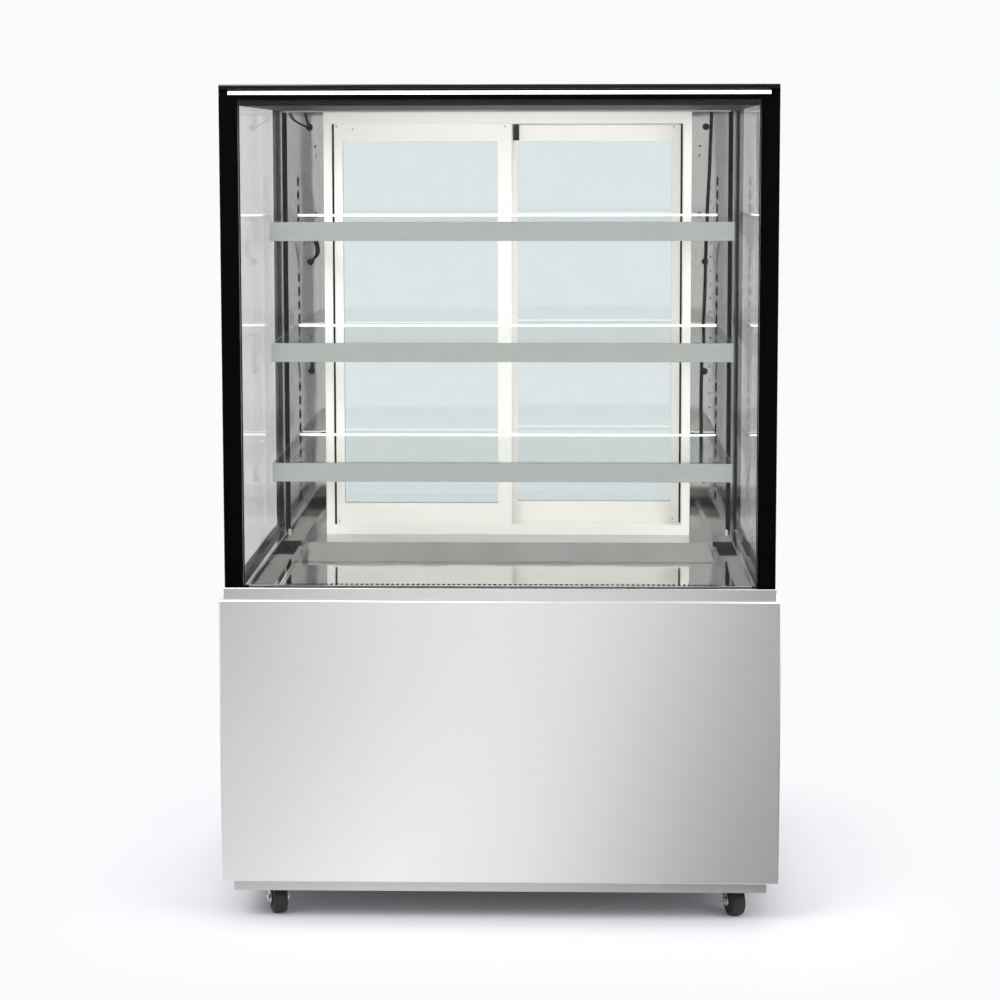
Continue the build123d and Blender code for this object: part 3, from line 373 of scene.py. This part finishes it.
# %% Softened edges
edge_radius = 0.35
edge_angle = 40
same_point = 0.01
soft_edges = (
    "front_panel", "side_panel_", "sill", "canopy", "door_frame", "door_left", "door_right", "shelf_rail_",
    "shelf_glass_", "front_glass", "side_glass_", "controls", "power_switch", "light_switch", "castor_",
)
for name, piece in nodes.items():
    if name.startswith(soft_edges):
        weld = piece.modifiers.new("weld", "WELD")
        weld.merge_threshold = same_point * mm
        bevel = piece.modifiers.new("edges", "BEVEL")
        bevel.width = edge_radius * mm
        bevel.segments = 2
        bevel.limit_method = "ANGLE"
        bevel.angle_limit = radians(edge_angle)
print("edges softened")

# %% [markdown]
# ## Lamp leads
#
# Two thin round leads run back under each shelf from its lamp and turn down into a rubber ring
# in the left post, and a thicker sheath hangs down the right post. A cable takes an even bend
# wherever it turns, which a smooth curve gives by itself, so each lead is a curve with a round
# section. Its points are those of the CAD route, and both of its ends are held.

# %% Curves for the leads
lead_radius = 1.2
lead_half_pitch = 1.25
sheath_radius = 3.0
post_face = 272.5
grommet_x = 359.0
grommet_drop = 85
roof_grommet = 1288
roof_level = 1316.7
under_shelf = 11
lamp_back = -137.1
shelf_tops = (1129.5, 929.5, 729.5)
in_ring, past_ring, bend_y = post_face + 1.5, post_face - 9, post_face - 15
top_bulge, low_bulge = 15, 2
outer_reach, inner_reach = 33, 7


def put(name, data):
    """An object of its own for a mesh, curve, light or camera, linked into the scene."""
    made = bpy.data.objects.new(name, data)
    bpy.context.scene.collection.objects.link(made)
    return made


def held_leads(name, runs, radius):
    """Round leads of one radius, each led by its own points in millimetres."""
    curve = bpy.data.curves.new(name, "CURVE")
    curve.dimensions = "3D"
    curve.bevel_depth = radius * mm
    curve.bevel_resolution = 3
    curve.resolution_u = 10
    curve.use_fill_caps = True
    for points in runs:
        spline = curve.splines.new("NURBS")
        spline.points.add(len(points) - 1)
        for knot, point in zip(spline.points, points):
            knot.co = (*[value * mm for value in point], 1.0)
        spline.order_u = 3
        spline.use_endpoint_u = True
    curve.materials.append(rubber)
    piece = put(name, curve)
    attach(piece, "cabinet")
    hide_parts("leads")


lamp_runs = []
outer_lead, inner_lead = -grommet_x - lead_half_pitch, -grommet_x + lead_half_pitch
for top in shelf_tops:
    hole, under = top - grommet_drop, top - under_shelf
    bulge = top_bulge if top == shelf_tops[0] else low_bulge
    for x in (outer_lead, inner_lead):
        start = [(x, in_ring, hole), (x, past_ring, hole)]
        bend = [(x + bulge, bend_y, hole + 14), (x + 0.7 * bulge, bend_y - 5, hole + 36)]
        lamp_runs.append(start + bend + [(x + 2, bend_y - 17, under), (x + 2, lamp_back, under)])
for x, reach in ((outer_lead, outer_reach), (inner_lead, inner_reach)):
    start = [(x, in_ring, roof_grommet), (x, past_ring, roof_grommet)]
    bend = [(x - reach / 2, bend_y + 1, roof_grommet + 6), (x - reach, bend_y, roof_grommet + 18)]
    lamp_runs.append(start + bend + [(x - reach - 1, bend_y, roof_level)])
held_leads("lamp_leads", lamp_runs, lead_radius)

hang = 267.4
sheath_end = shelf_tops[2] - grommet_drop
sheath_run = [(369, hang, roof_level), (367.5, hang, 1240), (361, hang, 1110), (359.5, hang, 985)]
sheath_run += [(354, hang, 865), (353.5, hang - 1, 760), (356, hang - 5, 682.5)]
sheath_run += [(grommet_x, hang - 14, sheath_end), (grommet_x, 270.6, sheath_end)]
held_leads("lead_sheath", [sheath_run], sheath_radius)
print("leads:", len(lamp_runs), "thin and 1 sheath")

# %% [markdown]
# ## Small fixings
#
# A case like this is held together by small things: screws in the leaves, the posts and the
# rear panel, rubber plugs in the posts, a pile seal in the groove beside each leaf, a stop
# block where the leaves overlap, nuts on the castor axles. Each is a closed skin stretched
# through a few rings of points, the way a turned or moulded part is drawn, and each rides on
# the piece that it is fixed to.

# %% Skins and screws
screw_sides = 24
screw_dome = ((1.0, 0.0), (1.0, 0.3), (0.88, 0.5), (0.6, 0.62), (0.42, 0.65), (0.2, 0.66))
recess_reach, recess_half_width, recess_depth = 0.7, 0.12, 0.3


def skin(name, rings, material, body):
    """A closed skin through rings of points in millimetres, capped at both ends."""
    count = len(rings[0])
    points = [Vector(point) * mm for ring in rings for point in ring]
    faces = []
    for n in range(len(rings) - 1):
        for i in range(count):
            j = (i + 1) % count
            faces.append((n * count + i, n * count + j, (n + 1) * count + j, (n + 1) * count + i))
    faces.append(tuple(range(count)))
    faces.append(tuple(len(points) - 1 - i for i in range(count)))
    mesh = bpy.data.meshes.new(name)
    mesh.from_pydata(points, [], faces)
    shape = bmesh.new()
    shape.from_mesh(mesh)
    bmesh.ops.recalc_face_normals(shape, faces=shape.faces)
    shape.to_mesh(mesh)
    shape.free()
    mesh.materials.append(material)
    piece = put(name, mesh)
    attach(piece, body)


def screw(name, centre, out, radius, material, body):
    """A pan-head screw with a cross recess, on a face that looks along Y in the direction out."""
    rings = []
    for share, rise in screw_dome:
        ring = []
        for n in range(screw_sides):
            x, z = share * cos(2 * pi * n / screw_sides), share * sin(2 * pi * n / screw_sides)
            in_cross = share < recess_reach and min(abs(x), abs(z)) < recess_half_width
            up = rise - recess_depth if in_cross else rise
            ring.append((centre[0] + radius * x, centre[1] + out * radius * up, centre[2] + radius * z))
        rings.append(ring)
    skin(name, rings, material, body)


leaf_screw, post_screw, post_plug, panel_screw = 1.7, 3.2, 2.0, 3.5
leaf_faces = {"door_left": 281.8, "door_right": 311.2}
leaf_screws = {
    "door_left": [(-311, 1289.5), (-4.3, 1289.5), (-281.5, 1284), (-311, 565)],
    "door_right": [(303, 1289), (304, 567)],
}
for body, places in leaf_screws.items():
    for n, (x, z) in enumerate(places, 1):
        screw(f"{body}_screw_{n}", (x, leaf_faces[body], z), -1, leaf_screw, zinc, body)
post_fixing_x, post_screw_z, post_plug_z = 348.6, 1235.5, (1253.5, 1133)
for side, x in (("left", -post_fixing_x), ("right", post_fixing_x)):
    place = (x, post_face, post_screw_z)
    screw(f"post_screw_{side}", place, -1, post_screw, metals["satin"], "cabinet")
    for n, z in enumerate(post_plug_z, 1):
        screw(f"post_plug_{side}_{n}", (x, post_face, z), -1, post_plug, rubber, "cabinet")
rear_skin, rear_screw_x, rear_screw_z = 330.5, 440, (82, 300, 519)
rear_places = [(x, rear_skin, z) for x in (-rear_screw_x, rear_screw_x) for z in rear_screw_z]
for n, place in enumerate(rear_places, 1):
    screw(f"rear_screw_{n}", place, 1, panel_screw, metals["satin"], "cabinet")
print("screws on leaves, posts and the rear panel")

# %% Seals and stop block
groove = (315.6, 319.1)
groove_depth, tuft_shoulder = 5.8, 0.6
tuft_tips = (0.8, 1.2)
tuft_step, tuft_count = 6, 126
seal_foot = 552
for body, side in (("door_left", -1), ("door_right", 1)):
    floor, inner, outer = leaf_faces[body] + groove_depth, side * groove[0], side * groove[1]
    tufts = []
    for n in range(tuft_count):
        tip = leaf_faces[body] + tuft_tips[n % 2]
        shoulder, z = tip + tuft_shoulder, seal_foot + tuft_step * n
        left = [(inner, floor, z), (inner, shoulder, z)]
        right = [(outer, shoulder, z), (outer, floor, z)]
        tufts.append([*left, ((inner + outer) / 2, tip, z), *right])
    skin(f"{body}_pile_seal", tufts, rubber, body)

block_x, block_z = 15.5, 1278.5
half_x, half_z, cut_corner = 5.5, 14.5, 0.5
short_x, short_z = half_x - cut_corner, half_z - cut_corner
outline = [(-short_x, -half_z), (short_x, -half_z), (half_x, -short_z), (half_x, short_z)]
outline += [(-x, -z) for x, z in outline]
stop = []
for share, rise in ((1.0, 0.0), (1.0, 1.8), (0.92, 2.4)):
    face = leaf_faces["door_right"] - rise
    stop.append([(block_x + x * share, face, block_z + z * share) for x, z in outline])
skin("leaf_stop_block", stop, abs_black, "door_right")
print("seals with", tuft_count, "tufts each, and the stop block")

# %% Castor nuts
castor_turn = 18  # degrees from straight ahead, as the CAD castors stand
castor_trail = 28
axle_height = 25
nut_rings = ((15.25, 6.4), (17.8, 6.4), (18.8, 5.2))
swivel_x, swivel_y = {"left": -374, "right": 374}, {"front": -247, "back": 262}
turn_angle = radians(castor_turn - 90)
trail = Vector((cos(turn_angle), sin(turn_angle), 0))
axle = Vector((-sin(turn_angle), cos(turn_angle), 0))
upright = Vector((0, 0, 1))
corners = [trail * cos(pi * n / 3) + upright * sin(pi * n / 3) for n in range(6)]
for name in ("front_left", "front_right", "back_left", "back_right"):
    end, side = name.split("_")
    hub = Vector((swivel_x[side], swivel_y[end], axle_height)) + trail * castor_trail
    for place, way in (("inner", -1), ("outer", 1)):
        rings = []
        for reach, across in nut_rings:
            centre = hub + axle * way * reach
            rings.append([centre + corner * across for corner in corners])
        skin(f"castor_nut_{name}_{place}", rings, zinc, f"castor_{name}")
print("eight castor nuts")

# %% [markdown]
# ## Edges of the shelves
#
# A glass shelf carries lamp light inside it from front to back, and lets it out at its rear
# edge, which shines as a white line. Seen from the front, the top of the glass mirrors its own
# inside and hides that edge, so the line is drawn as a thin film with a painted glow that
# stands a little over the glass. The long side edges show the green of the glass in a narrow polished strip.

# %% Rear and side edges
# the film at each shelf's rear edge glows: a painted glow for the light that leaves the glass edge
painted_glow_edge = opal_acrylic("painted_glow_glass_edge", 1.0, ("f6f8f5", "ffffff"))
green_edge = moulded("polished_green_glass_edge", ("6a7068", "7b8178"), (0.15, 0.25), 20.0, 0.01)
edge_inset = 3
film, film_below, film_above = 0.4, 1.5, 1.8
strip_width, strip_seat, strip_top = 2.2, 0.01, 0.06
for n in range(1, len(shelf_tops) + 1):
    low, high = (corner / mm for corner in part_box(f"shelf_glass_{n}"))
    below, above, behind = high.z - film_below, high.z + film_above, high.y + film
    ring = ((high.y, below), (behind, below), (behind, above), (high.y, above))
    back = [[(x, y, z) for y, z in ring] for x in (low.x + edge_inset, high.x - edge_inset)]
    skin(f"shelf_{n}_back_edge_glow", back, painted_glow_edge, "cabinet")
    for side, x, step in (("left", low.x, strip_width), ("right", high.x, -strip_width)):
        seat, top = high.z + strip_seat, high.z + strip_top
        ring = ((x, seat), (x + step, seat), (x + step, top), (x, top))
        strip = [[(a, y, z) for a, z in ring] for y in (low.y + edge_inset, high.y - edge_inset)]
        skin(f"shelf_{n}_{side}_edge", strip, green_edge, "cabinet")
print("edges on", len(shelf_tops), "shelves")

# %% [markdown]
# ## Studio
#
# A catalogue shows steel on white. The floor is a matt disc that turns, away from the case,
# into the same white as the world, so no horizon shows while the case keeps its shadow. The
# world is white to the camera, to mirrors and through glass. Brushed steel is only as
# interesting as what it reflects, so a card on the floor, which only mirrors see, gives the
# front panel its slow diagonal gradient, and black flags around the line of sight darken
# what the polished pieces mirror.

# %% World and floor
white = srgb("fafbfd")
world_light = 0.85
floor_sides = 96
floor_level = -0.2 * mm


def studio_world():
    """White for the camera, mirrors and glass, and a softer grey for the light it gives."""
    world = bpy.data.worlds.new("studio")
    world.use_nodes = True
    tree = world.node_tree
    tree.nodes.clear()
    path = add(tree, "ShaderNodeLightPath").outputs
    rays = {0: path["Is Camera Ray"], 1: path["Is Glossy Ray"]}
    seen = add(tree, "ShaderNodeMath", rays, operation="MAXIMUM")
    rays = {0: seen.outputs[0], 1: path["Is Transmission Ray"]}
    seen = add(tree, "ShaderNodeMath", rays, operation="MAXIMUM")
    shown = add(tree, "ShaderNodeBackground", {"Color": white, "Strength": 1.0})
    light = add(tree, "ShaderNodeBackground", {"Color": srgb("f8f8f8"), "Strength": world_light})
    both = add(tree, "ShaderNodeMixShader", {0: seen.outputs[0], 1: light.outputs[0], 2: shown.outputs[0]})
    add(tree, "ShaderNodeOutputWorld", {"Surface": both.outputs[0]})
    bpy.context.scene.world = world


def studio_floor(radius, footprint, fade_end):
    """A disc that takes the case's shadow and fades into the world's white beyond its footprint."""
    place = (0, 0, floor_level)
    bpy.ops.mesh.primitive_circle_add(vertices=floor_sides, radius=radius, fill_type="NGON", location=place)
    floor = bpy.context.object
    floor.name = "studio_floor"
    material, tree, shader = finish("matt_floor", "dcdde0", roughness=0.9, specular_ior_level=0.0)
    place = add(tree, "ShaderNodeTexCoord").outputs["Object"]
    spans = add(tree, "ShaderNodeVectorMath", {0: place}, operation="ABSOLUTE").outputs[0]
    outside = add(tree, "ShaderNodeVectorMath", {0: spans, 1: footprint}, operation="SUBTRACT").outputs[0]
    outside = add(tree, "ShaderNodeVectorMath", {0: outside, 1: (0, 0, 0)}, operation="MAXIMUM").outputs[0]
    length = add(tree, "ShaderNodeVectorMath", {0: outside}, operation="LENGTH").outputs["Value"]
    spread = add(
        tree,
        "ShaderNodeMapRange",
        {"Value": length, "From Min": 0.0, "From Max": fade_end},
        interpolation_type="SMOOTHSTEP",
    )
    glow = add(tree, "ShaderNodeEmission", {"Color": white, "Strength": 1.0})
    both = add(tree, "ShaderNodeMixShader", {0: spread.outputs[0], 1: shader.outputs[0], 2: glow.outputs[0]})
    tree.links.new(both.outputs[0], tree.nodes["Material Output"].inputs["Surface"])
    floor.data.materials.append(material)


studio_world()
studio_floor(radius=30.0, footprint=(0.4, 0.28, 1.0), fade_end=0.42)
print("world and floor ready")

# %% Cards that only mirrors see


def reflection_card(name, corners, shader_maker):
    """A flat card that glossy rays see and nothing else does."""
    mesh = bpy.data.meshes.new(name)
    mesh.from_pydata(corners, [], [tuple(range(len(corners)))])
    card = put(name, mesh)
    card.visible_camera = card.visible_diffuse = card.visible_transmission = False
    card.visible_shadow = card.visible_volume_scatter = False
    material = bpy.data.materials.new(name)
    material.use_nodes = True
    tree = material.node_tree
    tree.nodes.clear()
    add(tree, "ShaderNodeOutputMaterial", {"Surface": shader_maker(tree)})
    mesh.materials.append(material)


tones = {0.0: "b4b4b4", 0.3: "d8d8d8", 0.5: "ffffff", 0.62: "ededed", 0.78: "a8a8a8", 0.95: "7c7c7c"}
tones_from, tones_to = -1.25, 0.75
lean = 0.09


def diagonal_gradient(tree):
    """Grey steps across X that drift to the right away from the case."""
    place = add(tree, "ShaderNodeTexCoord").outputs["Object"]
    axes = add(tree, "ShaderNodeSeparateXYZ", {0: place}).outputs
    drift = add(tree, "ShaderNodeMath", {0: axes["Y"], 1: lean, 2: axes["X"]}, operation="MULTIPLY_ADD")
    span = {"Value": drift.outputs[0], "From Min": tones_from, "From Max": tones_to}
    across = add(tree, "ShaderNodeMapRange", span)
    ramp = add(tree, "ShaderNodeValToRGB", {"Fac": across.outputs[0]})
    steps = ramp.color_ramp.elements
    while len(steps) < len(tones):
        steps.new(1.0)
    for step, (position, tone) in zip(steps, tones.items()):
        step.position, step.color = position, srgb(tone)
    return add(tree, "ShaderNodeEmission", {"Color": ramp.outputs[0], "Strength": 1.0}).outputs[0]


def black(tree):
    """A flag with no light of its own."""
    return add(tree, "ShaderNodeEmission", {"Color": srgb("040404"), "Strength": 1.0}).outputs[0]


card_half, card_rise = 2.2, 0.001
near, far = cad_box[0].y - 0.03, cad_box[0].y - 3.2
ring = ((-card_half, far), (card_half, far), (card_half, near), (-card_half, near))
reflection_card("floor_card", [(x, y, card_rise) for x, y in ring], diagonal_gradient)

flag_y = cad_box[0].y - 1.86
flags = {
    "flag_left": (-0.95, -0.63, 0.17, 1.5),
    "flag_right": (0.53, 0.85, 0.17, 1.5),
    "flag_top": (-0.95, 0.85, 1.345, 1.75),
}
for name, (left, right, low, high) in flags.items():
    ring = ((left, low), (right, low), (right, high), (left, high))
    reflection_card(name, [(x, flag_y, z) for x, z in ring], black)
print("one floor card and", len(flags), "flags")

# %% [markdown]
# ## Lights
#
# The case lights its own inside: a strip under the front of each shelf and one in the roof,
# tilted back so that they wash over the shelves and the white door frame. They light every
# surface, but neither the camera nor a mirror shows them. Three softboxes do the rest.

# %% Strips of the case and softboxes of the studio


def area_light(name, place, turn, size, power):
    """An area light at a place, turned by three angles, with two sides in metres and a power in watts."""
    data = bpy.data.lights.new(name, "AREA")
    data.shape = "RECTANGLE"
    data.size, data.size_y = size
    data.energy = power
    lamp = put(name, data)
    lamp.location, lamp.rotation_euler = place, turn
    return lamp


strip_size = (0.72, 0.012)
strip_y, strip_drop = -0.14, 20
strips = {
    f"shelf_strip_{n}": ((0, strip_y, (top - strip_drop) * mm), 35, power)
    for n, (top, power) in enumerate(zip(shelf_tops, (0.85, 0.8, 0.6)), 1)
}
strips["roof_strip"] = ((0, 0, 1.31), 40, 1.2)
for name, (place, tilt, power) in strips.items():
    strip = area_light(name, place, (radians(tilt), 0, 0), strip_size, power)
    strip.visible_camera = strip.visible_glossy = strip.visible_transmission = False

middle = (cad_box[0] + cad_box[1]) / 2
softbox_size = (2.0, 2.0)
softboxes = {
    "key_softbox": ((-2.2, -2.6, 3.2), 110),
    "fill_softbox": ((2.8, -2.2, 2.2), 70),
    "rear_softbox": ((0.6, 3.0, 2.8), 40),
}
for name, (place, power) in softboxes.items():
    turn = (middle - Vector(place)).to_track_quat("-Z", "Y").to_euler()
    area_light(name, place, turn, softbox_size, power)
print(len(strips), "strips and", len(softboxes), "softboxes")

# %% [markdown]
# ## Camera
#
# The photograph was taken a little above the case, slightly to its right, with a long lens.
# Its place comes from fitting the edges of the shelves, doors and panels. The small shift
# stands for a picture that was cropped off centre.

# %% Camera
camera_place = (0.1003, -4.187, 1.2509)
camera_pitch = 0.1027
camera_yaw = 0.0256
camera_roll = -0.0014
lens = 88.14
shift = -0.1

camera = bpy.data.cameras.new("camera")
camera.lens = lens
camera.sensor_width = 36.0
camera.shift_y = shift
viewer = put("camera", camera)
turn = Matrix.Rotation(camera_yaw, 4, "Z") @ Matrix.Rotation(pi / 2 - camera_pitch, 4, "X")
viewer.matrix_world = Matrix.Translation(camera_place) @ turn @ Matrix.Rotation(camera_roll, 4, "Z")
bpy.context.scene.camera = viewer
bpy.context.scene.view_settings.view_transform = "Standard"
print("camera at", camera_place)
